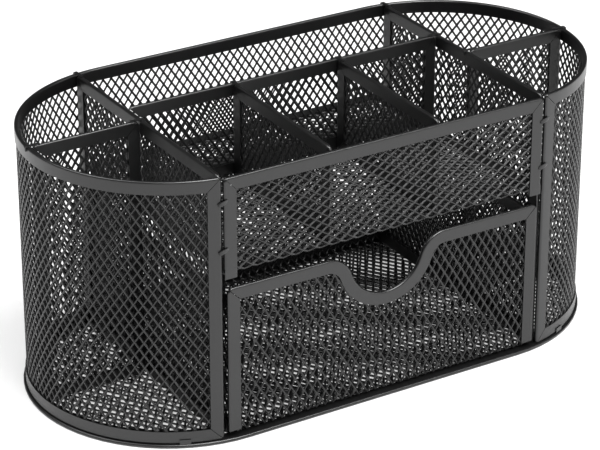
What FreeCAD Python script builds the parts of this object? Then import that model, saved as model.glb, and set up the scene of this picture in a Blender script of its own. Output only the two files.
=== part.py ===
import FreeCAD, Part
import math
import os

# Pen stand with drawer: black steel mesh sheets, their edges gripped by folded steel channels.
# Origin: centre of the footprint, on the table. +X is the length, +Y the back, +Z up.
# All lengths are in millimetres.

V = FreeCAD.Vector
UP = V(0, 0, 1)
DOWN = V(0, 0, -1)
RIGHT = V(1, 0, 0)
LEFT = V(-1, 0, 0)
BACK = V(0, 1, 0)
FRONT = V(0, -1, 0)

# Body of the stand
HALF_STRAIGHT = 57.5        # half the straight length of the plan
END_RADIUS = 54.0           # round ends and half the depth, to the outside of the rims
HEIGHT = 102.0              # table to the top of the rims
POST_LAP = 0.5              # free edge of a front post past the middle of a cross divider
FRONT_PROUD = 0.15          # front panel and drawer front ahead of the posts' free edges

# Sheets and the strips folded over their edges
SHEET = 0.7                 # flattened expanded steel
STRIP = 0.4                 # strip of the upright channels
BASE_STRIP = 0.3            # thinner strip of the base ring
CHANNEL = 4.8               # width of a folded channel
FOLD_GAP = 0.05             # strip to sheet
FOLD_BEVEL = 0.45           # bevel pressed along each fold of a strip
FIT_GAP = 0.1               # one channel to the next where panels meet
BEND_RADIUS = 1.6           # middle of a sheet where it turns from upright to level

# Openings that stand for the diamonds of the mesh, far larger and fewer than the real ones.
# The wall's sheet has none: it bends round the whole inside and is left closed.
COLUMN_PITCH = 25.8         # most from one opening to the next along a sheet
ROW_PITCH = 45.0            # and up it
BAR = 4.0                   # sheet left between two openings
END_OPENING = 0.75          # of a round end's radius that the base's openings reach

# Base
RING_PROUD = 0.9            # base ring outside the rim

# Dividers
LONG_AT = 15.5              # the long divider, behind the centre
MIDDLE_AT = 22.2            # the two middle dividers, either side of the centre
END_AT = 3.5                # an end divider off the centre line, turned round from end to end
PANEL_GAP = 1.0             # front panel to a post
PANEL_DROP = 0.7            # front panel's top below the rims
PANEL_FOOT = 3.2            # its side strips go on below the bend

# Tabs and hooks of the strips
TAB_WIDTH = 4.0
TAB_HEIGHT = 2.4
TAB_INSET = 9.4             # middles of the tabs in a front seam, from its two ends
BASE_TAB_TURN = 25.0        # degrees round the end from the straight side
BASE_TAB_RISE = 1.8
HOOK_WIDTH = 1.4
HOOK_ROOT = 3.6             # length of a hook on its own channel
HOOK_DROP = 1.4

# Drawer
DRAWER_HALF = 65.0          # half the width, outside
DRAWER_TOP = 59.6           # top of the drawer front
DRAWER_SIDE_DROP = 3.2      # top of the sides and the back below it
DRAWER_SIDE_GAP = 0.7       # drawer to a cross divider
DRAWER_TOP_GAP = 4.7        # drawer front to the shelf's channels
DRAWER_BACK_GAP = 1.0       # drawer's back to the wall's rims
DRAWER_LIFT = 0.3           # drawer floor above the base ring
NOTCH_DEPTH = 18.0
NOTCH_RADIUS = 15.4
SHOULDER_RADIUS = 10.5


def end_depth(radius, beside):
    """How far a plan line with round ends of this radius lies from the centre line, beside it."""
    past = max(0.0, beside - HALF_STRAIGHT)
    return math.sqrt(radius ** 2 - past ** 2)


THICK = SHEET + 2 * FOLD_GAP + 2 * STRIP            # outside of a channel
RING_THICK = SHEET + 2 * FOLD_GAP + 2 * BASE_STRIP  # outside of the base ring
GRIP = STRIP + FOLD_GAP                             # channel's outer edge to the sheet's edge
CROSS_AT = DRAWER_HALF + DRAWER_SIDE_GAP + THICK / 2    # middles of the two cross dividers
OPENING_HALF = CROSS_AT + POST_LAP                  # centre to a front post's free edge
WALL_MIDDLE = END_RADIUS - THICK / 2                # radius of the middle of the wall sheet
INSIDE_RIM = END_RADIUS - THICK                     # radius inside the rims and posts
FRONT_FACE = end_depth(END_RADIUS, OPENING_HALF) + FRONT_PROUD
FRONT_MIDDLE = FRONT_FACE - THICK / 2               # middle of the front sheets
SHELF_LEVEL = DRAWER_TOP + DRAWER_TOP_GAP + THICK / 2   # middle of the shelf sheet
DRAWER_FLOOR = RING_THICK + DRAWER_LIFT + SHEET / 2
DRAWER_SIDE_TOP = DRAWER_TOP - DRAWER_SIDE_DROP
DRAWER_BACK = end_depth(INSIDE_RIM, DRAWER_HALF) - DRAWER_BACK_GAP
RAIL_LAP = THICK + 2 * FIT_GAP                      # a hook over the rail that it meets
HALF_TURN = 180.0                                   # degrees
QUARTER_TURN = 90.0
TRIM_REACH = 4 * CHANNEL                            # size of the block that trims a strip's end

parts = {}


def outline(edges):
    """Flat face inside a closed loop of edges."""
    return Part.Face(Part.Wire(Part.__sortEdges__(edges)))


def filled(points):
    """Flat face with straight sides from point to point."""
    return Part.Face(Part.makePolygon(points + points[:1]))


def line(start, end):
    return Part.LineSegment(start, end).toShape()


def arc(start, middle, end):
    return Part.Arc(start, middle, end).toShape()


def strip_section(edge, inward, strip=STRIP):
    """Section of a folded strip: a U open towards ahead, its two folds bevelled outside."""
    ahead, depth = inward
    half_slot = SHEET / 2 + FOLD_GAP
    half = half_slot + strip
    upper = [(CHANNEL, half_slot), (CHANNEL, half), (FOLD_BEVEL, half), (0, half - FOLD_BEVEL)]
    lower = [(reach, -side) for reach, side in reversed(upper)]
    corners = upper + lower + [(strip, -half_slot), (strip, half_slot)]
    points = [edge + ahead * reach + depth * side for reach, side in corners]
    return filled(points)


def sheet_section(start, end, depth):
    """Section of a sheet: a line from start to end, given the sheet's thickness along depth."""
    half = depth * (SHEET / 2)
    corners = [start - half, end - half, end + half, start + half]
    return filled(corners)


def carried(section, moves):
    """Solid left by a section carried through runs (a vector) and turns (centre, axis, degrees)."""
    lengths = []
    for move in moves:
        if len(move) == 1:
            lengths.append(section.extrude(move[0]))
            section = section.translated(move[0])
        else:
            lengths.append(section.revolve(*move))
            section = section.rotated(*move)
    if len(lengths) == 1:
        return lengths[0]
    return lengths[0].fuse(lengths[1:]).removeSplitter()


def trail(point, moves):
    """Edges that a point leaves when it is carried through runs and turns."""
    spot = Part.Vertex(point)
    edges = []
    for move in moves:
        if len(move) == 1:
            edges.append(spot.extrude(move[0]))
            spot = spot.translated(move[0])
        else:
            edges.append(spot.revolve(*move))
            spot = spot.rotated(*move)
    return edges


def trimmed(shape, point, beyond):
    """Shape without what lies past a plane through point, on the side beyond points to."""
    block = Part.makeBox(2 * TRIM_REACH, 2 * TRIM_REACH, TRIM_REACH, V(-TRIM_REACH, -TRIM_REACH, 0))
    block.Placement = FreeCAD.Placement(point, FreeCAD.Rotation(UP, beyond))
    return shape.cut(block)


def channel(start, end, inward, mitres=(True, True)):
    """Straight folded channel over a sheet's edge, its ends mitred at 45 degrees or left square."""
    along = V(end - start).normalize()
    bar = carried(strip_section(start, (inward, along.cross(inward))), [(end - start,)])
    if mitres[0]:
        bar = trimmed(bar, start, inward - along)
    if mitres[1]:
        bar = trimmed(bar, end, inward + along)
    return bar


def divided(length, pitch):
    """Starts of the fewest equal openings that keep to a pitch over a length, and their size."""
    count = math.ceil((length + BAR) / pitch)
    size = (length + BAR) / count - BAR
    return [number * (size + BAR) for number in range(count)], size


def opened(sheet, corner, run, rise):
    """Sheet with a plain grid of openings from corner, over a flat stretch of run and rise."""
    along = V(run).normalize()
    up = V(rise).normalize()
    through = along.cross(up) * SHEET
    starts, width = divided(run.Length, COLUMN_PITCH)
    levels, height = divided(rise.Length, ROW_PITCH)
    blocks = []
    for start in starts:
        for level in levels:
            low = corner + along * start + up * level - through
            high = low + up * height
            opening = filled([low, low + along * width, high + along * width, high])
            blocks.append(opening.extrude(through * 2))
    return sheet.cut(blocks)


def box(low, high):
    size = high - low
    return Part.makeBox(size.x, size.y, size.z, low)


def upright_panel(name, near, far, bottom, top, sides=("front", "back")):
    """Framed panel standing between two plan points: a mesh sheet and four mitred channels."""
    along = V(far - near).normalize()
    low_near = near + UP * bottom
    low_far = far + UP * bottom
    high_far = far + UP * top
    high_near = near + UP * top
    near_side, far_side = sides
    parts[name + "_bottom_channel"] = channel(low_near, low_far, UP)
    parts[f"{name}_{far_side}_channel"] = channel(low_far, high_far, -along)
    parts[name + "_top_channel"] = channel(high_far, high_near, DOWN)
    parts[f"{name}_{near_side}_channel"] = channel(high_near, low_near, along)
    inset = along * GRIP
    start = near + inset + UP * (bottom + GRIP)
    end = far - inset + UP * (bottom + GRIP)
    section = sheet_section(start, end, along.cross(UP))
    sheet = carried(section, [(UP * (top - bottom - 2 * GRIP),)])
    inner = low_near + (along + UP) * CHANNEL
    run = far - near - along * (2 * CHANNEL)
    parts[name + "_mesh"] = opened(sheet, inner, run, UP * (top - bottom - 2 * CHANNEL))


def add_hook(name, end, toward, lap):
    """Tongue at a top channel's end, laid over the rail it meets and turned down behind it."""
    tip = lap + STRIP
    profile = [(-HOOK_ROOT, 0), (lap, 0), (lap, -HOOK_DROP), (tip, -HOOK_DROP)]
    profile += [(tip, STRIP), (-HOOK_ROOT, STRIP)]
    half_width = toward.cross(UP) * (HOOK_WIDTH / 2)
    side = filled([end - half_width + toward * out + UP * rise for out, rise in profile])
    top = parts[name + "_top_channel"]
    parts[name + "_top_channel"] = top.fuse(side.extrude(half_width * 2)).removeSplitter()


def wall_moves(side_turn):
    """From the left post round the left end, along the back and round the right end."""
    left_centre = V(-HALF_STRAIGHT, 0, 0)
    right_centre = V(HALF_STRAIGHT, 0, 0)
    round_end = HALF_TURN - side_turn
    back_run = RIGHT * (2 * HALF_STRAIGHT)
    return [(left_centre, DOWN, round_end), (back_run,), (right_centre, DOWN, round_end)]


def post_turn(past_edge):
    """Degrees round the end at which the wall starts, past_edge in from the post's free edge."""
    reach = OPENING_HALF - HALF_STRAIGHT
    return math.degrees(math.asin(reach / END_RADIUS) + past_edge / WALL_MIDDLE)


def at_post(turn, radius, level):
    """Point on the left end, turn degrees round from the straight front."""
    angle = math.radians(turn)
    return V(-HALF_STRAIGHT - radius * math.sin(angle), -radius * math.cos(angle), level)


def outward_at(turn):
    return at_post(turn, 1, 0) - at_post(turn, 0, 0)


def mirrored(shape):
    """The same piece on the right-hand side."""
    return shape.mirror(V(0, 0, 0), RIGHT)


def make_wall():
    """Wall sheet, its top and bottom rims and the two front posts, mitred where they meet."""
    foot = RING_THICK
    start = post_turn(GRIP)
    low = at_post(start, WALL_MIDDLE, foot + GRIP)
    high = at_post(start, WALL_MIDDLE, HEIGHT - GRIP)
    section = sheet_section(low, high, outward_at(start))
    parts["wall_mesh"] = carried(section, wall_moves(start))

    # The posts are straight, so each is a chord of the round wall and keeps to its sheet.
    near = at_post(post_turn(CHANNEL / 4), WALL_MIDDLE, 0)
    far = at_post(post_turn(CHANNEL * 3 / 4), WALL_MIDDLE, 0)
    onward = V(far - near).normalize()
    post_foot = near - onward * (CHANNEL / 4)
    post = channel(post_foot + UP * foot, post_foot + UP * HEIGHT, onward)
    parts["left_post_channel"] = post
    parts["right_post_channel"] = mirrored(post)

    edge = post_turn(0)
    for name, level, inward in (("top", HEIGHT, DOWN), ("bottom", foot, UP)):
        start = at_post(edge, WALL_MIDDLE, level)
        rim = carried(strip_section(start, (inward, outward_at(edge))), wall_moves(edge))
        corner = V(post_foot.x, post_foot.y, level)
        rim = trimmed(rim, corner, inward - onward)
        corner.x = -corner.x
        right_onward = V(-onward.x, onward.y, 0)
        parts[name + "_rim_channel"] = trimmed(rim, corner, inward - right_onward)


def stadium_moves():
    """Once round the whole plan, starting at the left end of the front side."""
    left_centre = V(-HALF_STRAIGHT, 0, 0)
    right_centre = V(HALF_STRAIGHT, 0, 0)
    side_run = RIGHT * (2 * HALF_STRAIGHT)
    left_end = (left_centre, DOWN, HALF_TURN)
    right_end = (right_centre, DOWN, HALF_TURN)
    return [left_end, (side_run,), right_end, (-side_run,)]


def make_base():
    """Level mesh and the flat ring folded over its edge, with the tabs that hold the wall down."""
    ring_radius = END_RADIUS + RING_PROUD
    corner = V(-HALF_STRAIGHT, -ring_radius, RING_THICK / 2)
    ring = carried(strip_section(corner, (BACK, UP), BASE_STRIP), stadium_moves())
    tab_in = END_RADIUS + FOLD_GAP
    for turn in (BASE_TAB_TURN, HALF_TURN - BASE_TAB_TURN):
        half_turn = math.degrees(TAB_WIDTH / 2 / tab_in)
        start = turn - half_turn
        inner = at_post(start, tab_in, RING_THICK - BASE_STRIP / 2)
        outer = inner + outward_at(start) * BASE_STRIP
        rise = UP * (BASE_TAB_RISE + BASE_STRIP / 2)
        section = filled([inner, outer, outer + rise, inner + rise])
        tab = section.revolve(V(-HALF_STRAIGHT, 0, 0), DOWN, 2 * half_turn)
        ring = ring.fuse([tab, mirrored(tab)])
    parts["base_ring"] = ring.removeSplitter()

    mesh_radius = ring_radius - BASE_STRIP - FOLD_GAP
    level = (RING_THICK - SHEET) / 2
    side = V(HALF_STRAIGHT, mesh_radius, level)
    edges = [line(V(-side.x, -side.y, level), V(side.x, -side.y, level))]
    edges.append(line(V(side.x, side.y, level), V(-side.x, side.y, level)))
    for sign in (1, -1):
        end = V(sign * side.x, side.y, level)
        tip = V(sign * (HALF_STRAIGHT + mesh_radius), 0, level)
        edges.append(arc(end, tip, V(end.x, -end.y, level)))
    base = outline(edges).extrude(UP * SHEET)

    inside = ring_radius - CHANNEL
    divider_side = CROSS_AT - THICK
    corner = V(-divider_side, -inside, RING_THICK / 2)
    base = opened(base, corner, RIGHT * (2 * divider_side), BACK * (2 * inside))
    near = CROSS_AT + THICK
    far = HALF_STRAIGHT + inside * END_OPENING
    half_rise = end_depth(inside, far)
    for left in (near, -far):
        corner = V(left, -half_rise, RING_THICK / 2)
        base = opened(base, corner, RIGHT * (far - near), BACK * (2 * half_rise))
    parts["base_mesh"] = base


def make_cross_dividers():
    """Full-height dividers at each side of the drawer, with tabs through the front seams."""
    reach = end_depth(INSIDE_RIM, CROSS_AT + THICK / 2) - FIT_GAP
    rim_lap = end_depth(END_RADIUS, CROSS_AT - HOOK_WIDTH / 2) + FIT_GAP - reach
    tab_levels = (SHELF_LEVEL + TAB_INSET, HEIGHT - TAB_INSET)
    for side, sign in (("left", -1), ("right", 1)):
        place = RIGHT * (sign * CROSS_AT)
        name = side + "_cross_divider"
        upright_panel(name, place + FRONT * reach, place + BACK * reach, RING_THICK, HEIGHT)
        seam = OPENING_HALF - PANEL_GAP / 2 - FOLD_GAP
        stem = V(STRIP / 2, 0, TAB_HEIGHT / 2)
        head = V(TAB_WIDTH / 2, 0, TAB_HEIGHT / 2)
        face = V(sign * seam, -FRONT_FACE - FOLD_GAP, 0)
        tabs = []
        for level in tab_levels:
            middle = face + UP * level
            root = V(middle.x, -reach + STRIP / 2, level)
            tabs.append(box(middle - stem, root + stem))
            tabs.append(box(middle - head + FRONT * STRIP, middle + head))
        front = parts[name + "_front_channel"]
        parts[name + "_front_channel"] = front.fuse(tabs).removeSplitter()
        add_hook(name, place + V(0, reach, HEIGHT), BACK, rim_lap)


def make_front_and_shelf():
    """One sheet bent from front panel to shelf, and the channels over its edges."""
    panel_half = OPENING_HALF - PANEL_GAP
    shelf_half = CROSS_AT - THICK / 2 - 2 * FIT_GAP
    shelf_back = end_depth(WALL_MIDDLE - SHEET / 2, shelf_half) - FIT_GAP
    bend_top = SHELF_LEVEL + BEND_RADIUS
    bend_end = -FRONT_MIDDLE + BEND_RADIUS

    panel_top = HEIGHT - PANEL_DROP
    upper = V(-panel_half + GRIP, -FRONT_MIDDLE, panel_top - GRIP)
    run_down = panel_top - GRIP - bend_top
    section = sheet_section(upper, V(-upper.x, upper.y, upper.z), FRONT)
    panel = carried(section, [(DOWN * run_down,)])
    lip = panel_half - CHANNEL
    corner = V(-lip, -FRONT_MIDDLE, bend_top + BAR)
    rise = UP * (panel_top - CHANNEL - corner.z)
    panel = opened(panel, corner, RIGHT * (2 * lip), rise)
    shelf_edge = shelf_half - GRIP
    start = V(-shelf_edge, -FRONT_MIDDLE, bend_top)
    narrow = sheet_section(start, V(shelf_edge, start.y, start.z), FRONT)
    turn = (V(0, bend_end, bend_top), RIGHT, QUARTER_TURN)
    shelf = carried(narrow, [turn, (BACK * (shelf_back - GRIP - bend_end),)])
    # The sheet stays whole under each divider that stands on it.
    lip = shelf_half - CHANNEL
    beside = MIDDLE_AT + THICK
    between = MIDDLE_AT - THICK
    for low, high in ((bend_end + BAR, LONG_AT - THICK), (LONG_AT + THICK, shelf_back - CHANNEL)):
        for left, right in ((-lip, -beside), (-between, between), (beside, lip)):
            corner = V(left, low, SHELF_LEVEL)
            shelf = opened(shelf, corner, RIGHT * (right - left), BACK * (high - low))
    parts["front_and_shelf_mesh"] = panel.fuse(shelf).removeSplitter()

    top_left = V(-panel_half, -FRONT_MIDDLE, panel_top)
    top_right = V(panel_half, -FRONT_MIDDLE, panel_top)
    low_left = V(-panel_half, -FRONT_MIDDLE, bend_top - PANEL_FOOT)
    parts["front_top_channel"] = channel(top_left, top_right, DOWN)
    side = channel(low_left, top_left, RIGHT, (False, True))
    # Only the front flange goes on below the bend, past the sheet that turns back behind it.
    behind = V(-panel_half, -FRONT_FACE + STRIP, low_left.z)
    side = side.cut(box(behind, V(CHANNEL - panel_half, -FRONT_FACE + THICK, bend_top)))
    parts["front_left_channel"] = side
    parts["front_right_channel"] = mirrored(side)

    front_left = V(-shelf_half, bend_end, SHELF_LEVEL)
    back_left = V(-shelf_half, shelf_back, SHELF_LEVEL)
    back_right = V(shelf_half, shelf_back, SHELF_LEVEL)
    side = channel(front_left, back_left, RIGHT, (False, True))
    parts["shelf_left_channel"] = side
    parts["shelf_right_channel"] = mirrored(side)
    parts["shelf_back_channel"] = channel(back_left, back_right, FRONT)


def make_shelf_dividers():
    """Long divider and the two middle dividers, standing on the shelf."""
    long_half = CROSS_AT - THICK / 2 - FIT_GAP
    shelf_top = SHELF_LEVEL + THICK / 2
    near = V(-long_half, LONG_AT, 0)
    far = V(long_half, LONG_AT, 0)
    upright_panel("long_divider", near, far, shelf_top, HEIGHT, ("left", "right"))
    add_hook("long_divider", far + UP * HEIGHT, RIGHT, RAIL_LAP)

    front_end = -FRONT_MIDDLE + BEND_RADIUS
    back_end = LONG_AT - THICK / 2 - FIT_GAP
    bottom = SHELF_LEVEL + SHEET / 2 + FOLD_GAP
    for side, sign in (("left", -1), ("right", 1)):
        name = side + "_middle_divider"
        place = RIGHT * (sign * MIDDLE_AT)
        upright_panel(name, place + BACK * front_end, place + BACK * back_end, bottom, HEIGHT)
        add_hook(name, place + V(0, back_end, HEIGHT), BACK, RAIL_LAP)


def make_end_dividers():
    """One divider across each round end, from the cross divider to the wall."""
    cross_face = CROSS_AT + THICK / 2 + FIT_GAP
    wall_end = HALF_STRAIGHT + math.sqrt((INSIDE_RIM - FIT_GAP) ** 2 - (END_AT + THICK / 2) ** 2)
    rim_outside = HALF_STRAIGHT + math.sqrt(END_RADIUS ** 2 - (END_AT - HOOK_WIDTH / 2) ** 2)
    rim_lap = rim_outside + FIT_GAP - wall_end
    for side, outward, offset in (("left", LEFT, END_AT), ("right", RIGHT, -END_AT)):
        name = side + "_end_divider"
        near = V(0, offset, 0) + outward * cross_face
        far = V(0, offset, 0) + outward * wall_end
        upright_panel(name, near, far, RING_THICK, HEIGHT, ("inner", "outer"))
        add_hook(name, far + UP * HEIGHT, outward, rim_lap)
        add_hook(name, near + UP * HEIGHT, -outward, RAIL_LAP)


def notch_moves(half_length):
    """Along the drawer front's top edge: over a shoulder, through the notch and out again."""
    both = NOTCH_RADIUS + SHOULDER_RADIUS
    rise = both - NOTCH_DEPTH
    shoulder_at = math.sqrt(both ** 2 - rise ** 2)
    turn = math.degrees(math.acos(rise / both))
    shoulder = DRAWER_TOP - SHOULDER_RADIUS
    left_centre = V(-shoulder_at, -FRONT_MIDDLE, shoulder)
    right_centre = V(shoulder_at, -FRONT_MIDDLE, shoulder)
    notch_centre = V(0, -FRONT_MIDDLE, DRAWER_TOP - NOTCH_DEPTH + NOTCH_RADIUS)
    run = RIGHT * (half_length - shoulder_at)
    over_left = (left_centre, BACK, turn)
    through = (notch_centre, FRONT, 2 * turn)
    over_right = (right_centre, BACK, turn)
    return [(run,), over_left, through, over_right, (run,)]


def make_drawer_front():
    """Channels of the drawer front: the top one follows the finger notch."""
    left_corner = V(-DRAWER_HALF, -FRONT_MIDDLE, DRAWER_TOP)
    right_corner = V(DRAWER_HALF, -FRONT_MIDDLE, DRAWER_TOP)
    top = carried(strip_section(left_corner, (DOWN, FRONT)), notch_moves(DRAWER_HALF))
    top = trimmed(top, left_corner, DOWN + LEFT)
    parts["drawer_front_top_channel"] = trimmed(top, right_corner, DOWN + RIGHT)
    foot = V(-DRAWER_HALF, -FRONT_MIDDLE, DRAWER_FLOOR + BEND_RADIUS)
    side = channel(foot, left_corner, RIGHT, (False, True))
    parts["drawer_front_left_channel"] = side
    parts["drawer_front_right_channel"] = mirrored(side)


def make_drawer_tray():
    """One sheet bent into the drawer's front, floor and back, with the channel on the back."""
    bend_top = DRAWER_FLOOR + BEND_RADIUS
    bend_front = -FRONT_MIDDLE + BEND_RADIUS
    back_middle = DRAWER_BACK - THICK / 2
    bend_back = back_middle - BEND_RADIUS
    half = DRAWER_HALF - GRIP

    top_left = V(-half, -FRONT_MIDDLE - SHEET / 2, DRAWER_TOP - GRIP)
    top_right = V(half, top_left.y, top_left.z)
    low_left = V(-half, top_left.y, bend_top)
    low_right = V(half, top_left.y, bend_top)
    # The notch's centres lie in the middle of the sheet, and turning about them keeps the depth.
    edges = trail(top_left, notch_moves(half))
    edges += [line(top_right, low_right), line(low_right, low_left), line(low_left, top_left)]
    front = outline(edges).extrude(BACK * SHEET)
    lip = DRAWER_HALF - CHANNEL
    notch_foot = DRAWER_TOP - NOTCH_DEPTH - CHANNEL
    beside_notch = NOTCH_RADIUS + SHOULDER_RADIUS
    corner = V(-lip, -FRONT_MIDDLE, bend_top + BAR)
    front = opened(front, corner, RIGHT * (2 * lip), UP * (notch_foot - corner.z))
    rise = UP * (DRAWER_TOP - CHANNEL - notch_foot - BAR)
    for left in (-lip, beside_notch):
        corner = V(left, -FRONT_MIDDLE, notch_foot + BAR)
        front = opened(front, corner, RIGHT * (lip - beside_notch), rise)

    start = sheet_section(V(-half, -FRONT_MIDDLE, bend_top), V(half, -FRONT_MIDDLE, bend_top), FRONT)
    front_turn = (V(0, bend_front, bend_top), RIGHT, QUARTER_TURN)
    back_turn = (V(0, bend_back, bend_top), RIGHT, QUARTER_TURN)
    back_top = DRAWER_SIDE_TOP - GRIP
    moves = [front_turn, (BACK * (bend_back - bend_front),), back_turn, (UP * (back_top - bend_top),)]
    tray = front.fuse(carried(start, moves)).removeSplitter()
    inside = DRAWER_HALF - THICK - BAR
    run = RIGHT * (2 * inside)
    floor_corner = V(-inside, bend_front + BAR, DRAWER_FLOOR)
    tray = opened(tray, floor_corner, run, BACK * (bend_back - BAR - floor_corner.y))
    back_corner = V(-inside, back_middle, bend_top + BAR)
    rise = UP * (DRAWER_SIDE_TOP - CHANNEL - back_corner.z)
    parts["drawer_tray_mesh"] = opened(tray, back_corner, run, rise)

    left_end = V(-DRAWER_HALF, back_middle, DRAWER_SIDE_TOP)
    right_end = V(DRAWER_HALF, back_middle, DRAWER_SIDE_TOP)
    parts["drawer_back_channel"] = channel(left_end, right_end, DOWN, (False, False))


def make_drawer_sides():
    """Side sheets standing on the tray, each in one strip folded over its top, back and bottom."""
    middle = DRAWER_HALF - THICK / 2
    front_end = -FRONT_MIDDLE + BEND_RADIUS
    back_end = DRAWER_BACK - THICK / 2 - BEND_RADIUS
    bottom = DRAWER_FLOOR + SHEET / 2 + FOLD_GAP
    low_front = V(-middle, front_end, bottom)
    low_back = V(-middle, back_end, bottom)
    high_back = V(-middle, back_end, DRAWER_SIDE_TOP)
    high_front = V(-middle, front_end, DRAWER_SIDE_TOP)
    lower = channel(low_front, low_back, UP, (False, True))
    upright = channel(low_back, high_back, FRONT)
    upper = channel(high_back, high_front, DOWN, (True, False))
    strip = lower.fuse([upright, upper]).removeSplitter()
    parts["drawer_left_side_channel"] = strip
    parts["drawer_right_side_channel"] = mirrored(strip)

    start = low_front + UP * GRIP
    end = low_back + V(0, -GRIP, GRIP)
    rise = DRAWER_SIDE_TOP - bottom - 2 * GRIP
    sheet = carried(sheet_section(start, end, RIGHT), [(UP * rise,)])
    corner = V(-middle, front_end + BAR, bottom + CHANNEL)
    run = BACK * (back_end - CHANNEL - corner.y)
    sheet = opened(sheet, corner, run, UP * (DRAWER_SIDE_TOP - CHANNEL - corner.z))
    parts["drawer_left_mesh"] = sheet
    parts["drawer_right_mesh"] = mirrored(sheet)


def export():
    """One STEP file for each piece, named as the piece is."""
    os.makedirs("parts", exist_ok=True)
    for name, shape in parts.items():
        shape.exportStep("parts/" + name + ".step")


make_wall()
make_base()
make_cross_dividers()
make_front_and_shelf()
make_shelf_dividers()
make_end_dividers()
make_drawer_front()
make_drawer_tray()
make_drawer_sides()
export()
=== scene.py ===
import bpy
import math
import numpy as np
from mathutils import Matrix, Vector


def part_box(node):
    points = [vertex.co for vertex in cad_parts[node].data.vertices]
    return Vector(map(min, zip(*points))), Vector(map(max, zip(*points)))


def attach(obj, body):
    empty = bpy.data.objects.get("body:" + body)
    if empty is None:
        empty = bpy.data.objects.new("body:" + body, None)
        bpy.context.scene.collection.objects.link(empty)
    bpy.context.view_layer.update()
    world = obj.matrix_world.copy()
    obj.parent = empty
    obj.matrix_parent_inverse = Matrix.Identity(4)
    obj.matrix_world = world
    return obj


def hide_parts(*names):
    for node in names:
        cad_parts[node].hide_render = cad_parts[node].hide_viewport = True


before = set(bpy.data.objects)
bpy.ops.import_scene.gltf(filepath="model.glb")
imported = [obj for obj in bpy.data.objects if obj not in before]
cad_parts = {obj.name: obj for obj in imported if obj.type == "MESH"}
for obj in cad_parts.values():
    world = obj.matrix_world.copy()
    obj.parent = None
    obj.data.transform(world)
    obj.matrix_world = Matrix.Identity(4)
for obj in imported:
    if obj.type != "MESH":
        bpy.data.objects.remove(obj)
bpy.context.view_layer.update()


# Base ring. A thin steel strip folded over the cut edge of the floor mesh, rolled flat, with four
# small tabs turned up against the foot of the wall. The whole stand rests on it. Black powder coat.

MM = 0.001                  # lengths below are in millimetres
SHEET = 0.7                 # flattened expanded mesh
SLOT = 0.8                  # between the two flanges of a folded strip
BASE_STRIP = 0.3            # steel of the base ring's strip
LIP = 4.8                   # width of a folded strip, fold to lip
PINCH = 0.04                # each flange closes on the mesh by this at its lip
LIP_STATIONS = (1.0, 0.6, 0.25)     # places along a flange where its section has points
LIP_CORNER = 0.05           # least radius of a corner, deep inside its curve
FOLD_ROUND = 0.8            # radius of the fold's corners, of half its width
ROUND_STEPS = 6             # points round a corner of a section or a strip
CORNER_ROOM = 0.6           # a strip's corner takes up this much more than its width
STATION_GAP = 0.1           # least length between a strip's points and its corners
BEND_STEP = 0.1             # radians between the points along a bend
BAR_POINTS = 12             # round the section of a flat bar
BAR_POWER = 0.3             # of its superellipse, 0 being square and 1 round
BAR_FOLD = 0.5              # how far its coat counts as lying on a fold
STRIP_CREASE = 40           # degrees, over which an edge of a strip is sharp
RING_CLEAR = 0.05           # floor mesh's edge to the inside of the ring's fold
RING_TAB_WIDTH = 4.0
RING_TAB_TURNS = (25, 155)  # degrees round an end from the front straight
RING_TAB_OUT = 0.2          # middle of a tab to the outside of the wall
RING_TAB_FOOT = 0.2         # its lower end above the floor mesh
RING_TAB_ROOT = 0.35        # where its rise begins above the floor mesh
RING_TAB_RISE = 1.8

PEEL_NOISE = (2600, 2)      # scale per metre and detail of the coat's orange peel
SWAY_NOISE = (60, 1)        # of the steel's slow sway
TONE_NOISE = (380, 3)       # of the coat's tone and roughness
TONE_SHARE = 0.6            # of the tone that is fine, the rest following the sway
ROUGHNESS_SPREAD = 0.12
FOLD_POLISH = 0.08          # less roughness on a fold

X, Y, Z = np.eye(3)


class Shade:
    """An output socket of a material's nodes. Arithmetic on it adds Math nodes."""

    def __init__(self, tree, socket=None):
        self.tree = tree
        self.socket = socket

    def node(self, kind, settings, sockets, output=0):
        """A node of this kind with its settings, then the values or links of its sockets."""
        made = self.tree.nodes.new(kind)
        for name, value in settings.items():
            setattr(made, name, value)
        for name, value in sockets.items():
            if isinstance(value, Shade):
                self.tree.links.new(value.socket, made.inputs[name])
            else:
                made.inputs[name].default_value = value
        return Shade(self.tree, made.outputs[output] if made.outputs else None)

    def math(self, operation, *values):
        return self.node("ShaderNodeMath", {"operation": operation}, dict(enumerate(values)))

    def mix(self, low, high):
        """Colour that goes from low to high as this socket goes from 0 to 1."""
        return self.node("ShaderNodeMix", {"data_type": "RGBA"}, {0: self, 6: low, 7: high}, 2)

    def __add__(self, other):
        return self.math("ADD", self, other)

    def __sub__(self, other):
        return self.math("SUBTRACT", self, other)

    def __rsub__(self, other):
        return self.math("SUBTRACT", other, self)

    def __mul__(self, other):
        return self.math("MULTIPLY", self, other)

    __radd__ = __add__
    __rmul__ = __mul__


def blank_nodes(owner):
    """Start of the nodes of a material or a world, with none in it yet."""
    owner.use_nodes = True
    owner.node_tree.nodes.clear()
    return Shade(owner.node_tree)


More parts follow.
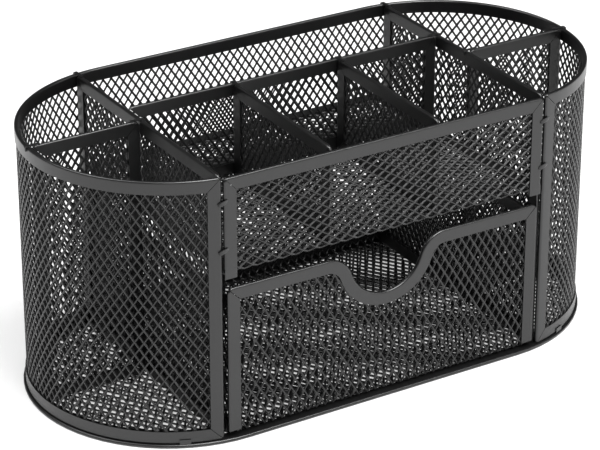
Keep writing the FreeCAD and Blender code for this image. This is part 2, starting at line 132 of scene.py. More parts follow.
def powder_coat(name, low, high, roughness, peel, sway):
    """Satin powder coat: fine orange peel over a slow sway of the steel, smoother on the folds.

    Its tone goes from low to high, and peel and sway are heights in millimetres.
    """
    material = bpy.data.materials.new(name)
    start = blank_nodes(material)
    place = start.node("ShaderNodeTexCoord", {}, {}, "Object")

    def noise(scale, detail):
        sockets = {"Vector": place, "Scale": scale, "Detail": detail}
        return start.node("ShaderNodeTexNoise", {}, sockets)

    grain = noise(*PEEL_NOISE)
    slow = noise(*SWAY_NOISE)
    tone = noise(*TONE_NOISE)
    fold = start.node("ShaderNodeAttribute", {"attribute_name": "fold"}, {}, "Fac")
    height = grain * peel + slow * sway
    bump = start.node("ShaderNodeBump", {}, {"Height": height, "Strength": 1.0, "Distance": MM})
    sockets = {
        "Base Color": (tone * TONE_SHARE + slow * (1 - TONE_SHARE)).mix(low, high),
        "Roughness": tone * ROUGHNESS_SPREAD + roughness - fold * FOLD_POLISH,
        "Normal": bump,
        "Specular IOR Level": 0.5,
        "Coat Weight": 0.15,
        "Coat Roughness": 0.25,
    }
    surface = start.node("ShaderNodeBsdfPrincipled", {}, sockets)
    start.node("ShaderNodeOutputMaterial", {}, {"Surface": surface})
    return material


def bent_line(moves):
    """Straight runs and round bends, each a length and the angle that it turns by, end to end.

    Returns a function of the distance along the line that gives x, y and the heading. The line
    starts at the origin and heads along x, and a bend of angle a is an arc of radius length / a.
    """
    def at(distance):
        left = np.asarray(distance, float)
        x = np.zeros_like(left)
        y = np.zeros_like(left)
        heading = 0.0
        last = len(moves) - 1
        for number, (length, turn) in enumerate(moves):
            low = -np.inf if number == 0 else 0.0
            high = np.inf if number == last else length
            part = np.clip(left, low, high)
            bend = turn * part / length
            if turn:
                radius = length / turn
                x = x + radius * (np.sin(heading + bend) - np.sin(heading))
                y = y + radius * (np.cos(heading) - np.cos(heading + bend))
            else:
                x = x + part * np.cos(heading)
                y = y + part * np.sin(heading)
            heading = heading + bend
            left = left - length
        return x, y, heading
    return at


class Sheet:
    """A sheet with u along one way and v along the other, bent along one of them or flat.

    A point is the start, plus the bent line in the plane of ahead and aside, plus the distance
    along across, plus w along the sheet's normal, which is the way of u crossed with that of v.
    """

    def __init__(self, start, ahead, aside, across, moves=((1.0, 0.0),), bent_along_v=False):
        self.start, self.ahead, self.aside, self.across = np.array([start, ahead, aside, across])
        self.line = bent_line(moves)
        self.bent_along_v = bent_along_v

    def at(self, u, v, w):
        along, over = (v, u) if self.bent_along_v else (u, v)
        x, y, heading = self.line(along)
        x, y, heading, over, w = (
            part[..., None] for part in np.broadcast_arrays(x, y, heading, over, w))
        tangent = np.cos(heading) * self.ahead + np.sin(heading) * self.aside
        normal = np.cross(tangent, self.across)
        if self.bent_along_v:
            normal = -normal
        return self.start + x * self.ahead + y * self.aside + over * self.across + w * normal


def bar_faces(rows, columns):
    """Four-sided faces of a bar: rows of points round its section, columns along it.

    The first half of the rows is one face of the section and the second half the other, going
    back, so that each end is closed by the faces between the two halves.
    """
    index = np.arange(rows * columns).reshape(rows, columns)
    following = np.roll(index, -1, 0)
    sides = np.stack([index[:, :-1], index[:, 1:], following[:, 1:], following[:, :-1]], -1)
    over, under = index[:rows // 2], index[rows // 2:][::-1]
    first = np.stack([over[:-1, 0], over[1:, 0], under[1:, 0], under[:-1, 0]], -1)
    last = np.stack([under[:-1, -1], under[1:, -1], over[1:, -1], over[:-1, -1]], -1)
    return np.concatenate([sides.reshape(-1, 4), first, last])


def fold_section(steel):
    """Section of a folded strip as depth from the edge, distance across, and a mask of the fold.

    The strip's middle line is a U with round corners whose flanges close a little towards their
    lips. The section is that line moved out and in by half the steel.
    """
    half = (SLOT + steel) / 2
    radius = half * FOLD_ROUND
    turn = np.linspace(0, math.pi / 2, ROUND_STEPS)
    lips = LIP * np.array(LIP_STATIONS)
    depth = np.concatenate([lips, radius - radius * np.sin(turn) + steel / 2])
    across = np.concatenate([np.full(len(lips), half), half - radius + radius * np.cos(turn)])
    across = across - PINCH * depth / LIP
    inward = np.concatenate([np.zeros(len(lips)), -np.sin(turn)])
    outward = np.concatenate([np.ones(len(lips)), np.cos(turn)])
    depth, across, inward, outward = (
        np.concatenate([part, sign * part[::-1]])
        for part, sign in ((depth, 1), (across, -1), (inward, 1), (outward, -1))
    )
    outer = np.stack([depth + inward * steel / 2, across + outward * steel / 2])
    inner = np.stack([depth - inward * steel / 2, across - outward * steel / 2])
    loop = np.concatenate([outer[:, ::-1], inner], 1)
    mask = np.concatenate([-inward[::-1], np.zeros(len(depth))])
    return loop[0], loop[1], mask


def folded_strip(sheet, steel, start, heading, moves, corners=(None, None), seam=0.0, step=8):
    """A strip folded over a sheet's edge, as points, faces and a mask of its fold.

    The edge is a bent line from start in u and v, with the sheet on its left, and each point of
    the section follows it at its own depth. An end with a corner turns half of it, about a centre
    on its diagonal, and stops a seam short of the diagonal. An end with no corner is cut square.
    """
    depth, across, mask = fold_section(steel)
    deep = depth[:, None]
    total = sum(length for length, turn in moves)
    zones = [0.0 if corner is None else LIP + CORNER_ROOM for corner in corners]
    stops = np.cumsum([0.0] + [length for length, turn in moves])
    runs = [
        np.linspace(low, high, 2 + int(max((high - low) / step, abs(turn) / BEND_STEP)))
        for low, high, (length, turn) in zip(stops, stops[1:], moves)
    ]
    along = np.unique(np.concatenate(runs).round(6))
    along = along[(along > zones[0] + STATION_GAP) & (along < total - zones[1] - STATION_GAP)]
    along = np.concatenate([[zones[0]], along, [total - zones[1]]])
    line = bent_line(moves)
    x, y, turned = line(along)
    x, y = x - deep * np.sin(turned), y + deep * np.cos(turned)
    angle = np.linspace(math.pi / 4, 0, ROUND_STEPS)
    for number, corner in enumerate(corners):
        if corner is None:
            continue
        radius = np.maximum(corner - deep, LIP_CORNER)
        ahead = deep + radius - radius * np.sin(angle) + seam
        aside = deep + radius - radius * np.cos(angle)
        if number == 0:
            near_x, near_y, turn = line(ahead)
            x = np.concatenate([near_x - aside * np.sin(turn), x], 1)
            y = np.concatenate([near_y + aside * np.cos(turn), y], 1)
        else:
            far_x, far_y, turn = line(total - ahead[:, ::-1])
            x = np.concatenate([x, far_x - aside[:, ::-1] * np.sin(turn)], 1)
            y = np.concatenate([y, far_y + aside[:, ::-1] * np.cos(turn)], 1)
    cos, sin = math.cos(heading), math.sin(heading)
    u = start[0] + x * cos - y * sin
    v = start[1] + x * sin + y * cos
    points = sheet.at(u, v, across[:, None])
    return points.reshape(-1, 3), bar_faces(*u.shape), np.repeat(mask, u.shape[1])


def flat_bar(middle, wide, thin, width, steel):
    """A bar of flat strip with softened edges, as points, faces and a mask.

    Its section is a superellipse of the bar's width and thickness, set at every point of the
    middle line along the directions wide and thin.
    """
    angle = (np.arange(BAR_POINTS) + 0.5) / BAR_POINTS * 2 * math.pi
    over = -np.sign(np.cos(angle)) * np.abs(np.cos(angle)) ** BAR_POWER * width / 2
    up = np.sign(np.sin(angle)) * np.abs(np.sin(angle)) ** BAR_POWER * steel / 2
    wide, thin = np.broadcast_to(wide, middle.shape), np.broadcast_to(thin, middle.shape)
    points = middle + over[:, None, None] * wide + up[:, None, None] * thin
    mask = np.full(BAR_POINTS * len(middle), BAR_FOLD)
    return points.reshape(-1, 3), bar_faces(BAR_POINTS, len(middle)), mask


def joined(*shells):
    """Several closed shells as one set of points, faces and mask."""
    firsts = np.cumsum([0] + [len(shell[0]) for shell in shells])
    points, faces, masks = zip(*shells)
    faces = [part + first for part, first in zip(faces, firsts)]
    return np.concatenate(points), np.concatenate(faces), np.concatenate(masks)


def add_piece(name, shell, coat, body, node, crease):
    """A mesh of four-sided faces that stands for a CAD node, in its place on its body."""
    points, faces, mask = shell
    mesh = bpy.data.meshes.new(name)
    mesh.vertices.add(len(points))
    mesh.vertices.foreach_set("co", (points * MM).astype(np.float32).ravel())
    mesh.loops.add(faces.size)
    mesh.loops.foreach_set("vertex_index", faces.astype(np.int32).ravel())
    mesh.polygons.add(len(faces))
    mesh.polygons.foreach_set("loop_start", np.arange(0, faces.size, 4, dtype=np.int32))
    mesh.polygons.foreach_set("use_smooth", np.ones(len(faces), bool))
    mesh.update(calc_edges=True)
    mesh.set_sharp_from_angle(angle=math.radians(crease))
    fold = mesh.attributes.new("fold", "FLOAT", "POINT")
    fold.data.foreach_set("value", mask.astype(np.float32))
    mesh.materials.append(coat)
    piece = bpy.data.objects.new(name, mesh)
    bpy.context.scene.collection.objects.link(piece)
    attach(piece, body)
    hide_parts(node)


def add_strip(node, shell, body="stand"):
    """A folded strip that stands for the CAD channel of this name."""
    name = node.replace("channel", "strip")
    add_piece(name, shell, strip_coat, body, node, STRIP_CREASE)


def limits(node):
    """Lowest and highest corner of a CAD node."""
    low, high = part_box(node)
    return np.array(low) / MM, np.array(high) / MM


# Both coats are written darker than real powder coat, to suit a key lamp that is stronger than plain.
strip_coat = powder_coat(
    "strip_powder_coat", (0.0025, 0.0025, 0.0026, 1), (0.005, 0.005, 0.0051, 1),
    roughness=0.32, peel=0.010, sway=0.25)

floor_low, floor_high = limits("base_mesh")
half_straight = floor_high[0] - floor_high[1]
ring_radius = -floor_low[1] + BASE_STRIP + RING_CLEAR
floor_middle = (floor_low[2] + floor_high[2]) / 2
floor_sheet = Sheet((0, 0, floor_middle), X, Y, Y)
round_end = (math.pi * ring_radius, math.pi)
once_round = [(2 * half_straight, 0.0), round_end] * 2
ring_start = (-half_straight, -ring_radius)
ring_shells = [folded_strip(floor_sheet, BASE_STRIP, ring_start, 0, once_round)]
wall_high = limits("top_rim_channel")[1]
tab_radius = wall_high[1] + RING_TAB_OUT
rise = np.linspace(floor_high[2] + RING_TAB_FOOT, floor_high[2] + RING_TAB_ROOT + RING_TAB_RISE,
                   ROUND_STEPS)[:, None] * Z
for side in (-1, 1):
    for degrees in RING_TAB_TURNS:
        turn = math.radians(degrees)
        outward = np.array([side * math.sin(turn), -math.cos(turn), 0.0])
        foot = side * half_straight * X + tab_radius * outward
        along = np.cross(outward, Z)
        ring_shells.append(flat_bar(foot + rise, along, outward, RING_TAB_WIDTH, BASE_STRIP))
add_piece("base_ring_strip", joined(*ring_shells), strip_coat, "stand",
          "base_ring", STRIP_CREASE)


# Floor mesh of the stand. Expanded steel rolled flat: rows of staggered diamonds with soft edged
# strands, its border held in the base ring. Powder coated like the strips, but its coat is
# written a little darker than theirs, as painted shade.

STRAND = 0.86               # width of a strand
STRAND_SHOULDER = 0.28      # of that, rounded off at each side
WALL_DIAMOND = (3.35, 4.92)     # short and long way of the mesh
EDGE_KEEP = 0.8             # a diamond whose middle is no further inside an edge is left out
FLOOR_MARGIN = 2            # the floor's diamonds start this far outside it
MESH_CREASE = 50            # degrees, over which an edge of a strand is sharp


def lattice(sheet, us, vs, diamond, fine=1, edge=None):
    """Diamond mesh over part of a sheet, as points, faces and a mask.

    Strands run along the sides of diamonds whose corners lie half a diamond apart each way. Each
    diamond has a loop on the strands' middle lines at both faces of the sheet, a loop on each
    face where the strand rounds off, and one loop round its opening at half thickness. A border
    is the zigzag of the outermost whole diamonds. Corners outside an edge are moved to it.
    """
    spans = np.array([us[1] - us[0], vs[1] - vs[0]])
    counts = np.round(spans / np.array(diamond) * 2).astype(int)
    centres = np.stack(np.meshgrid(*(np.arange(1, n) for n in counts), indexing="ij"), -1)
    centres = centres.reshape(-1, 2)
    centres = centres[centres.sum(1) % 2 == 1]
    corners = np.array([[2, 0], [0, 2], [-2, 0], [0, -2]])
    if fine == 2:
        corners = np.stack([corners, (corners + np.roll(corners, -1, 0)) // 2], 1).reshape(-1, 2)
    places = 2 * centres[:, None, :] + corners
    origin = np.array([us[0], vs[0]])
    middle = origin + centres * spans / counts
    if edge is not None:
        kept = edge(middle)[0] > EDGE_KEEP
        middle, places = middle[kept], places[kept]
    keys = places[..., 0] * (2 * counts[1] + 1) + places[..., 1]
    keys, first, joint = np.unique(keys, return_index=True, return_inverse=True)
    joint = joint.reshape(places.shape[:2])
    knots = origin + places.reshape(-1, 2)[first] * spans / counts / 2
    if edge is not None:
        depth, inward = edge(knots)
        knots = knots + np.maximum(0.0, -depth)[:, None] * inward
        middle = knots[joint].mean(1)
    half_width = 1 / math.hypot(2 / diamond[0], 2 / diamond[1])
    reach = knots[joint] - middle[:, None, :]
    shoulder = middle[:, None] + reach * (1 - (STRAND / 2 - STRAND_SHOULDER) / half_width)
    opening = middle[:, None] + reach * (1 - STRAND / 2 / half_width)
    half = SHEET / 2
    points = np.concatenate([
        sheet.at(knots[:, 0], knots[:, 1], half),
        sheet.at(knots[:, 0], knots[:, 1], -half),
        sheet.at(shoulder[..., 0].ravel(), shoulder[..., 1].ravel(), half),
        sheet.at(shoulder[..., 0].ravel(), shoulder[..., 1].ravel(), -half),
        sheet.at(opening[..., 0].ravel(), opening[..., 1].ravel(), 0.0),
    ])
    loop = np.arange(joint.size).reshape(joint.shape)
    over, under = joint, joint + len(knots)
    over_inner = loop + 2 * len(knots)
    under_inner, hole = over_inner + joint.size, over_inner + 2 * joint.size

    def band(outer, inner):
        """Faces between two loops, facing the side from which the loops run anticlockwise."""
        parts = [outer, np.roll(outer, -1, 1), np.roll(inner, -1, 1), inner]
        return np.stack(parts, -1).reshape(-1, 4)

    sides = np.stack([joint, np.roll(joint, -1, 1)], -1).reshape(-1, 2)
    pair = sides.min(1) * len(knots) + sides.max(1)
    number, count = np.unique(pair, return_inverse=True, return_counts=True)[1:]
    border = sides[count[number.ravel()] == 1]
    rim = np.stack([border[:, 0] + len(knots), border[:, 1] + len(knots),
                    border[:, 1], border[:, 0]], -1)
    faces = np.concatenate([
        band(over, over_inner), band(over_inner, hole),
        band(under, under_inner)[:, ::-1], band(under_inner, hole)[:, ::-1], rim,
    ])
    return points, faces, np.zeros(len(points))


def add_lattice(node, shell, body="stand"):
    """A sheet of mesh that stands for the CAD sheet of this name."""
    name = node.replace("mesh", "lattice")
    add_piece(name, shell, mesh_coat_with_painted_shade, body, node, MESH_CREASE)


def inside_floor(places):
    """Depth inside the round-ended floor: its radius less the distance from the centre line."""
    nearest = np.clip(places[:, 0], -half_straight, half_straight)
    away = places - np.stack([nearest, np.zeros(len(places))], 1)
    distance = np.maximum(np.hypot(*away.T), 1e-6)
    return floor_high[1] - distance, -away / distance[:, None]


# Painted shade: the same coat as the strips, a little darker, for the shading of the mesh's strands.
mesh_coat_with_painted_shade = powder_coat(
    "mesh_powder_coat", (0.002, 0.002, 0.0021, 1), (0.0045, 0.0045, 0.0046, 1),
    roughness=0.34, peel=0.012, sway=0.0)

floor_us = (floor_low[0] - FLOOR_MARGIN, floor_high[0] + FLOOR_MARGIN)
floor_vs = (floor_low[1] - FLOOR_MARGIN, floor_high[1] + FLOOR_MARGIN)
add_lattice("base_mesh", lattice(floor_sheet, floor_us, floor_vs, WALL_DIAMOND, edge=inside_floor))


# Wall. One sheet of mesh round both ends and the back, with a folded strip along its top and its
# foot and up each free front edge. The strips' ends are mitred and their outer corners rounded.

STRIP = 0.4                 # steel of the upright strips
THICK = SLOT + 2 * STRIP    # outside of a folded strip
GRIP = 0.45                 # sheet's edge inside the fold
MITRE = 0.12                # half the open seam of a mitre
OPENING_HALF = 67.0         # centre of the front to a post's free edge
POST_CORNER = 1.1
WALL_STEP = 2.5             # between the points along the wall's strips


def frame_strips(sheet, length, height, corners, step=8):
    """Strips at the foot, far end, top and near end of a sheet, in that order.

    corners are the outer radii at the near foot, the far foot, the far top and the near top.
    """
    starts = [(0, 0), (length, 0), (length, height), (0, height)]
    sizes = [length, height, length, height]
    return [
        folded_strip(sheet, STRIP, starts[side], side * math.pi / 2, [(sizes[side], 0.0)],
                     (corners[side], corners[(side + 1) % 4]), MITRE, step)
        for side in range(4)
    ]


wall_radius = wall_high[1] - THICK / 2
post_turn = math.asin((OPENING_HALF - half_straight) / wall_high[1])
wall_foot = limits("bottom_rim_channel")[0][2]
wall_height = wall_high[2] - wall_foot
onward = np.array([-math.cos(post_turn), math.sin(post_turn), 0.0])
inward = np.array([math.sin(post_turn), math.cos(post_turn), 0.0])
wall_start = -half_straight * X - wall_radius * inward + wall_foot * Z
end_bend = (wall_radius * (math.pi - post_turn), math.pi - post_turn)
wall_moves = [end_bend, (2 * half_straight, 0.0), end_bend]
wall_length = sum(length for length, turn in wall_moves)
wall_sheet = Sheet(wall_start, onward, inward, Z, wall_moves)
wall_us = (GRIP, wall_length - GRIP)
wall_vs = (GRIP, wall_height - GRIP)
add_lattice("wall_mesh", lattice(wall_sheet, wall_us, wall_vs, WALL_DIAMOND))
wall_strips = frame_strips(wall_sheet, wall_length, wall_height, [POST_CORNER] * 4, WALL_STEP)
wall_nodes = ["bottom_rim_channel", "right_post_channel", "top_rim_channel", "left_post_channel"]
for node, strip in zip(wall_nodes, wall_strips):
    add_strip(node, strip)


# Cross dividers. Framed mesh panels from front to back at each side of the drawer, their strips
# mitred with rounded corners. Tongues of the front strip come out through the seam between front
# panel and post and are turned over it, and a tongue at the back lies over the wall's rim.

PANEL_CORNER = 2.2
DIVIDER_CORNERS = (0.6, 0.6, PANEL_CORNER, PANEL_CORNER)    # foot, foot, top and top
HOOK_WIDTH = 1.4
HOOK_ROOT = 3.6             # length of a hook on its own strip
HOOK_BEND = 0.5
HOOK_DROP = 1.4
TAB_INSET = 9.4             # middles of the tabs in a front seam, from its two ends
TAB_STRIP = 1.6             # width of a tab once it is bent over
TAB_REACH = 1.95            # from a tab's middle to either end
TAB_LEAN = 0.3              # radians that it leans by
TAB_TWIST = 0.3             # how far its two ends are turned, one out and one in
TAB_SINK = 0.22             # its ends pressed into the strips
TAB_PROUD = 0.05            # its back in front of the panel's face
TAB_TAPER = 0.4             # narrower at its ends by this share
TAB_STEPS = 13              # points along it
PANEL_GAP = 1.0             # front panel to a post


def hook(end, toward, lap):
    """Tongue at a top strip's end: over the rail that it meets, round a bend and down behind it."""
    bend = HOOK_BEND * math.pi / 2
    moves = [(HOOK_ROOT + lap + STRIP / 2 - HOOK_BEND, 0.0), (bend, -math.pi / 2),
             (HOOK_DROP + STRIP / 2 - HOOK_BEND, 0.0)]
    stops = np.cumsum([0.0] + [length for length, turn in moves])
    along = np.concatenate([np.linspace(0, stops[1], ROUND_STEPS)[:-1],
                            np.linspace(*stops[1:3], ROUND_STEPS), stops[3:]])
    out, up, heading = bent_line(moves)(along)
    start = end - toward * HOOK_ROOT + Z * STRIP / 2
    middle = start + out[:, None] * toward + up[:, None] * Z
    heading = heading[:, None]
    thin = np.cos(heading) * Z - np.sin(heading) * toward
    return flat_bar(middle, np.cross(thin, np.cos(heading) * toward + np.sin(heading) * Z),
                    thin, HOOK_WIDTH, STRIP)


def panel_sheet(name, near_side, toward):
    """A panel's sheet with its length and height, from the sizes of its foot and near strips."""
    low, high = limits(name + "_bottom_channel")
    near_high = limits(f"{name}_{near_side}_channel")[1]
    middle = (low + high) / 2
    length = abs((high - low) @ toward)
    start = middle - toward * length / 2
    start[2] = low[2]
    return Sheet(start, toward, Z, Z), length, near_high[2] - low[2]


def add_panel(name, sides, toward, corners, hooks=(), extra=()):
    """A framed panel's lattice and strips, with hooks on the top one and extra on the near one.

    A hook is 1 for the far end or 0 for the near one, and its lap over the rail that it meets.
    """
    sheet, length, height = panel_sheet(name, sides[0], toward)
    spans = (GRIP, length - GRIP), (GRIP, height - GRIP)
    add_lattice(name + "_mesh", lattice(sheet, *spans, WALL_DIAMOND))
    foot, far, top, near = frame_strips(sheet, length, height, corners)
    tongues = []
    for at_far, lap in hooks:
        end = sheet.start + height * Z + toward * length * at_far
        tongues.append(hook(end, toward if at_far else -toward, lap))
    add_strip(name + "_bottom_channel", foot)
    add_strip(f"{name}_{sides[1]}_channel", far)
    add_strip(name + "_top_channel", joined(top, *tongues))
    add_strip(f"{name}_{sides[0]}_channel", joined(near, *extra))


front_face = -limits("front_top_channel")[0][1]
shelf_side_low, shelf_side_high = limits("shelf_left_channel")
shelf_level = (shelf_side_low[2] + shelf_side_high[2]) / 2
rim_lap = limits("left_cross_divider_top_channel")[1][1] - STRIP
rim_lap = rim_lap - limits("left_cross_divider_bottom_channel")[1][1]
for side, sign in (("left", -1), ("right", 1)):
    name = side + "_cross_divider"
    reach = limits(name + "_bottom_channel")[1][1]
    tabs = []
    for level in (shelf_level + TAB_INSET, wall_high[2] - TAB_INSET):
        seam = sign * (OPENING_HALF - PANEL_GAP / 2) * X
        face = seam - (front_face + TAB_PROUD + STRIP / 2) * Y + level * Z
        over = np.linspace(-1, 1, TAB_STEPS)[:, None]
        lean = math.cos(TAB_LEAN) * X + math.sin(TAB_LEAN) * Z
        wide = math.sin(TAB_LEAN) * X - math.cos(TAB_LEAN) * Z + TAB_TWIST * over * Y
        middle = face + TAB_REACH * over * lean + TAB_SINK * over ** 2 * Y
        tabs.append(flat_bar(middle, wide * (1 - TAB_TAPER * over ** 4), Y, TAB_STRIP, STRIP))
        inside = seam - (reach - STRIP) * Y + level * Z
        steps = np.linspace(0, 1, 3)[:, None]
        tabs.append(flat_bar(face + (inside - face) * steps, Z, X, TAB_STRIP, STRIP))
    add_panel(name, ("front", "back"), Y, DIVIDER_CORNERS, [(1, rim_lap)], tabs)


# Front panel and shelf. One sheet of mesh bent through a right angle: the panel stands above the
# drawer and the shelf runs back from it, each with strips folded over its free edges. The front
# flange of the panel's side strips goes on below the bend.

BEND_RADIUS = 1.6           # middle of a sheet where it turns
PANEL_EDGE_CORNER = 1.5
SHELF_CORNER = 1.5
PANEL_DIAMOND = (5.08, 3.42)    # the long way of this sheet's mesh lies along the panel
FOOT_LAP = 0.5              # the front flange's foot runs this far up into the strip above

quarter_bend = (BEND_RADIUS * math.pi / 2, math.pi / 2)
panel_high = limits("front_top_channel")[1]
shelf_high = limits("shelf_back_channel")[1]
bend_top = shelf_level + BEND_RADIUS
panel_half = panel_high[0]
shelf_half = shelf_high[0]
panel_top = panel_high[2]
panel_height = panel_top - bend_top
front_middle = front_face - THICK / 2
shelf_depth = shelf_high[1] + front_middle - BEND_RADIUS
front_moves = [(panel_height, 0.0), quarter_bend, (shelf_depth, 0.0)]
front_sheet = Sheet((0, -front_middle, panel_top), -Z, Y, X, front_moves, bent_along_v=True)
bend_start, bend_end, front_length = np.cumsum([length for length, turn in front_moves])
mesh_half = min(panel_half, shelf_half) - GRIP
add_lattice("front_and_shelf_mesh", lattice(
    front_sheet, (-mesh_half, mesh_half), (GRIP, front_length - GRIP), PANEL_DIAMOND, fine=2))
for node, half, start, heading, size, ends in (
    ("front_top_channel", panel_half, (-1, 0), 0, 2 * panel_half,
     (PANEL_EDGE_CORNER, PANEL_EDGE_CORNER)),
    ("front_left_channel", panel_half, (-1, bend_start), -1, bend_start,
     (None, PANEL_EDGE_CORNER)),
    ("front_right_channel", panel_half, (1, 0), 1, bend_start, (PANEL_EDGE_CORNER, None)),
    ("shelf_left_channel", shelf_half, (-1, front_length), -1, shelf_depth,
     (SHELF_CORNER, None)),
    ("shelf_right_channel", shelf_half, (1, bend_end), 1, shelf_depth, (None, SHELF_CORNER)),
    ("shelf_back_channel", shelf_half, (1, front_length), 2, 2 * shelf_half,
     (SHELF_CORNER, SHELF_CORNER)),
):
    place = (start[0] * half, start[1])
    strip = folded_strip(front_sheet, STRIP, place, heading * math.pi / 2, [(size, 0.0)], ends,
                         MITRE)
    if node in ("front_left_channel", "front_right_channel"):
        foot = (half - LIP / 2) * start[0] * X - (front_face - STRIP / 2) * Y
        down = np.linspace(bend_top + FOOT_LAP, limits(node)[0][2], 3)[:, None] * Z
        strip = joined(strip, flat_bar(foot + down, X, -Y, LIP, STRIP))
    add_strip(node, strip)


# Long divider and middle dividers. Framed mesh panels that stand on the shelf. Each is held by a
# tongue at the far end of its top strip, laid over the rail that it meets and turned down.

RAIL_CLEAR = 0.2            # a hook to the far side of the rail
RAIL_LAP = THICK + RAIL_CLEAR
SHELF_DIVIDER_CORNERS = (0.8, 0.8, PANEL_CORNER, PANEL_CORNER)

add_panel("long_divider", ("left", "right"), X, SHELF_DIVIDER_CORNERS, [(1, RAIL_LAP)])
for side in ("left", "right"):
    add_panel(side + "_middle_divider", ("front", "back"), Y, SHELF_DIVIDER_CORNERS,
              [(1, RAIL_LAP)])


# End dividers. Framed mesh panels, one across each round end from the cross divider to the wall,
# hooked over both.

for side, outward in (("left", -X), ("right", X)):
    name = side + "_end_divider"
    top_low, top_high = limits(name + "_top_channel")
    foot_low, foot_high = limits(name + "_bottom_channel")
    outer = max(top_high @ outward, top_low @ outward) - STRIP
    outer = outer - max(foot_high @ outward, foot_low @ outward)
    add_panel(name, ("inner", "outer"), outward, DIVIDER_CORNERS, [(1, outer), (0, RAIL_LAP)])


# Drawer tray. One sheet of mesh bent up into the drawer's front and back. The front's top strip
# runs through the round finger notch, and side and back strips cover the other free edges.

TRAY_DIAMOND = (3.58, 5.65)
NOTCH_DEPTH = 18.0
NOTCH_RADIUS = 15.4
SHOULDER_RADIUS = 10.5
DRAWER_CORNER = 2.0
LOOSE_MITRE = 0.16
NOTCH_POINTS = 700          # along the notched edge, for the depth inside it
TRAY_STEP = 4               # between the points along the tray's strips

drawer_half = limits("drawer_tray_mesh")[1][0] + GRIP
drawer_top = limits("drawer_front_top_channel")[1][2]
tray_floor = limits("drawer_tray_mesh")[0][2] + SHEET / 2
tray_bend = tray_floor + BEND_RADIUS
back_low, back_high = limits("drawer_back_channel")
back_middle = (back_low[1] + back_high[1]) / 2
side_top = back_high[2]
front_height = drawer_top - tray_bend
tray_moves = [
    (front_height, 0.0), quarter_bend,
    (back_middle + front_middle - 2 * BEND_RADIUS, 0.0), quarter_bend,
    (side_top - tray_bend, 0.0),
]
tray_length = sum(length for length, turn in tray_moves)
tray_sheet = Sheet((0, -front_middle, drawer_top), -Z, Y, X, tray_moves, bent_along_v=True)
both_radii = NOTCH_RADIUS + SHOULDER_RADIUS
notch_turn = math.acos((both_radii - NOTCH_DEPTH) / both_radii)
notch_run = drawer_half - both_radii * math.sin(notch_turn)
shoulder = (SHOULDER_RADIUS * notch_turn, notch_turn)
through = (2 * NOTCH_RADIUS * notch_turn, -2 * notch_turn)
notch_moves = [(notch_run, 0.0), shoulder, through, shoulder, (notch_run, 0.0)]
notch_length = sum(length for length, turn in notch_moves)
notch_line = bent_line(notch_moves)


def inside_tray(places):
    """Depth inside the notched top edge, from the nearest of many points along its line."""
    along = np.linspace(0, notch_length, NOTCH_POINTS)
    edge_u, edge_v, heading = notch_line(along)
    away = places[:, None, :] - np.stack([edge_u - drawer_half, edge_v], -1)
    nearest = np.hypot(away[..., 0], away[..., 1]).argmin(1)
    rows = np.arange(len(places))
    facing = np.stack([-np.sin(heading), np.cos(heading)], -1)[nearest]
    return (away[rows, nearest] * facing).sum(1) - GRIP, facing


add_lattice("drawer_tray_mesh", lattice(
    tray_sheet, (GRIP - drawer_half, drawer_half - GRIP), (GRIP, tray_length - GRIP),
    TRAY_DIAMOND, fine=2, edge=inside_tray), "drawer")
tray_strips = (
    ("drawer_front_top_channel", (-drawer_half, 0), 0, notch_moves,
     (DRAWER_CORNER, DRAWER_CORNER)),
    ("drawer_front_left_channel", (-drawer_half, front_height), -1, [(front_height, 0.0)],
     (None, DRAWER_CORNER)),
    ("drawer_front_right_channel", (drawer_half, 0), 1, [(front_height, 0.0)],
     (DRAWER_CORNER, None)),
    ("drawer_back_channel", (drawer_half, tray_length), 2, [(2 * drawer_half, 0.0)],
     (None, None)),
)
for node, start, heading, moves, ends in tray_strips:
    strip = folded_strip(tray_sheet, STRIP, start, heading * math.pi / 2, moves, ends,
                         LOOSE_MITRE, TRAY_STEP)
    add_strip(node, strip, "drawer")


# Drawer sides. A sheet of mesh each, standing on the tray in one strip that is folded over its
# foot, back and top.

SIDE_DIAMOND = (3.4, 5.0)
SIDE_FRONT = 0.5            # a side's mesh starts this far behind its strip's front end

for side in ("left", "right"):
    node = f"drawer_{side}_side_channel"
    low, high = limits(node)
    start = np.array([(low[0] + high[0]) / 2, low[1], low[2]])
    side_sheet = Sheet(start, Y, Z, Z)
    length, height = high[1] - low[1], high[2] - low[2]
    spans = (SIDE_FRONT, length - GRIP), (GRIP, height - GRIP)
    add_lattice(f"drawer_{side}_mesh", lattice(side_sheet, *spans, SIDE_DIAMOND), "drawer")
    foot = folded_strip(side_sheet, STRIP, (0, 0), 0, [(length, 0.0)], (None, SHELF_CORNER))
    back = folded_strip(side_sheet, STRIP, (length, 0), math.pi / 2, [(height, 0.0)],
                        (SHELF_CORNER, SHELF_CORNER))
    top = folded_strip(side_sheet, STRIP, (length, height), math.pi, [(length, 0.0)],
                       (SHELF_CORNER, None))
    add_strip(node, joined(foot, back, top), "drawer")


# Studio. A wide pale floor, a white sky that only the camera sees, and three soft lamps. The floor
# is white partly by the key lamp's light.

CAMERA_PLACE = (-0.486321, -0.785839, 0.493403)
CAMERA_YAW = math.radians(31.569)
CAMERA_PITCH = math.radians(25.850)
CAMERA_ROLL = math.radians(0.034)
CAMERA_LENS = 167.163
STUDIO_HALF = 8             # metres from the middle of the floor to its sides
PAPER_COLOUR = (0.86, 0.86, 0.86, 1)
SEEN_GLOW = 0.5             # share of plain white in the floor that the camera sees
MIRRORED_GLOW = 0.2         # and in its reflections
WHITE = (1, 1, 1, 1)
SKY_COLOUR = (0.9, 0.9, 0.9, 1)
SKY_STRENGTH = 0.07
LAMP_AIM = (0, 0, 0.05)     # about halfway up the stand

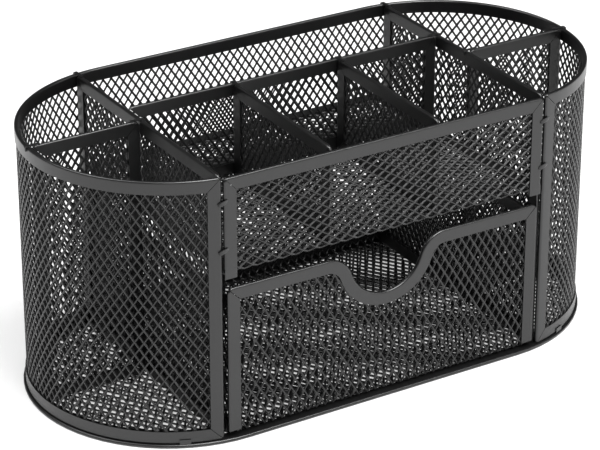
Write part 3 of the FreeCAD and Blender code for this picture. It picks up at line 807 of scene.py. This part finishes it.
floor_mesh = bpy.data.meshes.new("studio_floor")
floor_corners = [(x * STUDIO_HALF, y * STUDIO_HALF, 0)
                 for x, y in ((-1, -1), (1, -1), (1, 1), (-1, 1))]
floor_mesh.from_pydata(floor_corners, [], [(0, 1, 2, 3)])
studio_floor = bpy.data.objects.new("studio_floor", floor_mesh)
bpy.context.scene.collection.objects.link(studio_floor)
paper = bpy.data.materials.new("white_paper")
paper_start = blank_nodes(paper)
seen = paper_start.node("ShaderNodeLightPath", {}, {}, "Is Camera Ray")
mirrored = paper_start.node("ShaderNodeLightPath", {}, {}, "Is Glossy Ray")
matt = paper_start.node("ShaderNodeBsdfDiffuse", {}, {"Color": PAPER_COLOUR})
bright = paper_start.node("ShaderNodeEmission", {}, {"Color": WHITE, "Strength": 1.0})
glow = seen * SEEN_GLOW + mirrored * MIRRORED_GLOW
sheet_of_paper = paper_start.node("ShaderNodeMixShader", {}, {0: glow, 1: matt, 2: bright})
paper_start.node("ShaderNodeOutputMaterial", {}, {"Surface": sheet_of_paper})
floor_mesh.materials.append(paper)

world = bpy.data.worlds.new("studio")
sky = blank_nodes(world)
in_view = sky.node("ShaderNodeLightPath", {}, {}, "Is Camera Ray")
sky_light = sky.node("ShaderNodeBackground", {}, {"Color": SKY_COLOUR, "Strength": SKY_STRENGTH})
sky_seen = sky.node("ShaderNodeBackground", {}, {"Color": WHITE, "Strength": 1.0})
sky_both = sky.node("ShaderNodeMixShader", {}, {0: in_view, 1: sky_light, 2: sky_seen})
sky.node("ShaderNodeOutputWorld", {}, {"Surface": sky_both})
bpy.context.scene.world = world


def softbox(name, place, aim, size, power):
    """A square area lamp at a place, facing a point, with its size in metres and power in watts."""
    lamp = bpy.data.lights.new(name, "AREA")
    lamp.size = size
    lamp.energy = power
    holder = bpy.data.objects.new(name, lamp)
    holder.location = place
    holder.rotation_euler = (Vector(aim) - Vector(place)).to_track_quat("-Z", "Y").to_euler()
    bpy.context.scene.collection.objects.link(holder)


softbox("key_lamp", (0.2, -0.8, 1.7), LAMP_AIM, 1.2, 70)
softbox("fill_lamp", (1.3, -1.1, 0.5), LAMP_AIM, 0.8, 7)
softbox("back_lamp", (-0.9, 0.5, 1.6), (-0.3, 0.2, 0), 1.2, 26)

ahead = np.array([math.sin(CAMERA_YAW) * math.cos(CAMERA_PITCH),
                  math.cos(CAMERA_YAW) * math.cos(CAMERA_PITCH), -math.sin(CAMERA_PITCH)])
level = np.array([math.cos(CAMERA_YAW), -math.sin(CAMERA_YAW), 0.0])
above = np.cross(level, ahead)
right = math.cos(CAMERA_ROLL) * level + math.sin(CAMERA_ROLL) * above
camera_data = bpy.data.cameras.new("camera")
camera_data.lens = CAMERA_LENS
camera = bpy.data.objects.new("camera", camera_data)
turned = Matrix(np.stack([right, np.cross(right, ahead), -ahead], 1).tolist())
camera.matrix_world = Matrix.Translation(CAMERA_PLACE) @ turned.to_4x4()
bpy.context.scene.collection.objects.link(camera)
bpy.context.scene.camera = camera
bpy.context.scene.view_settings.view_transform = "Standard"
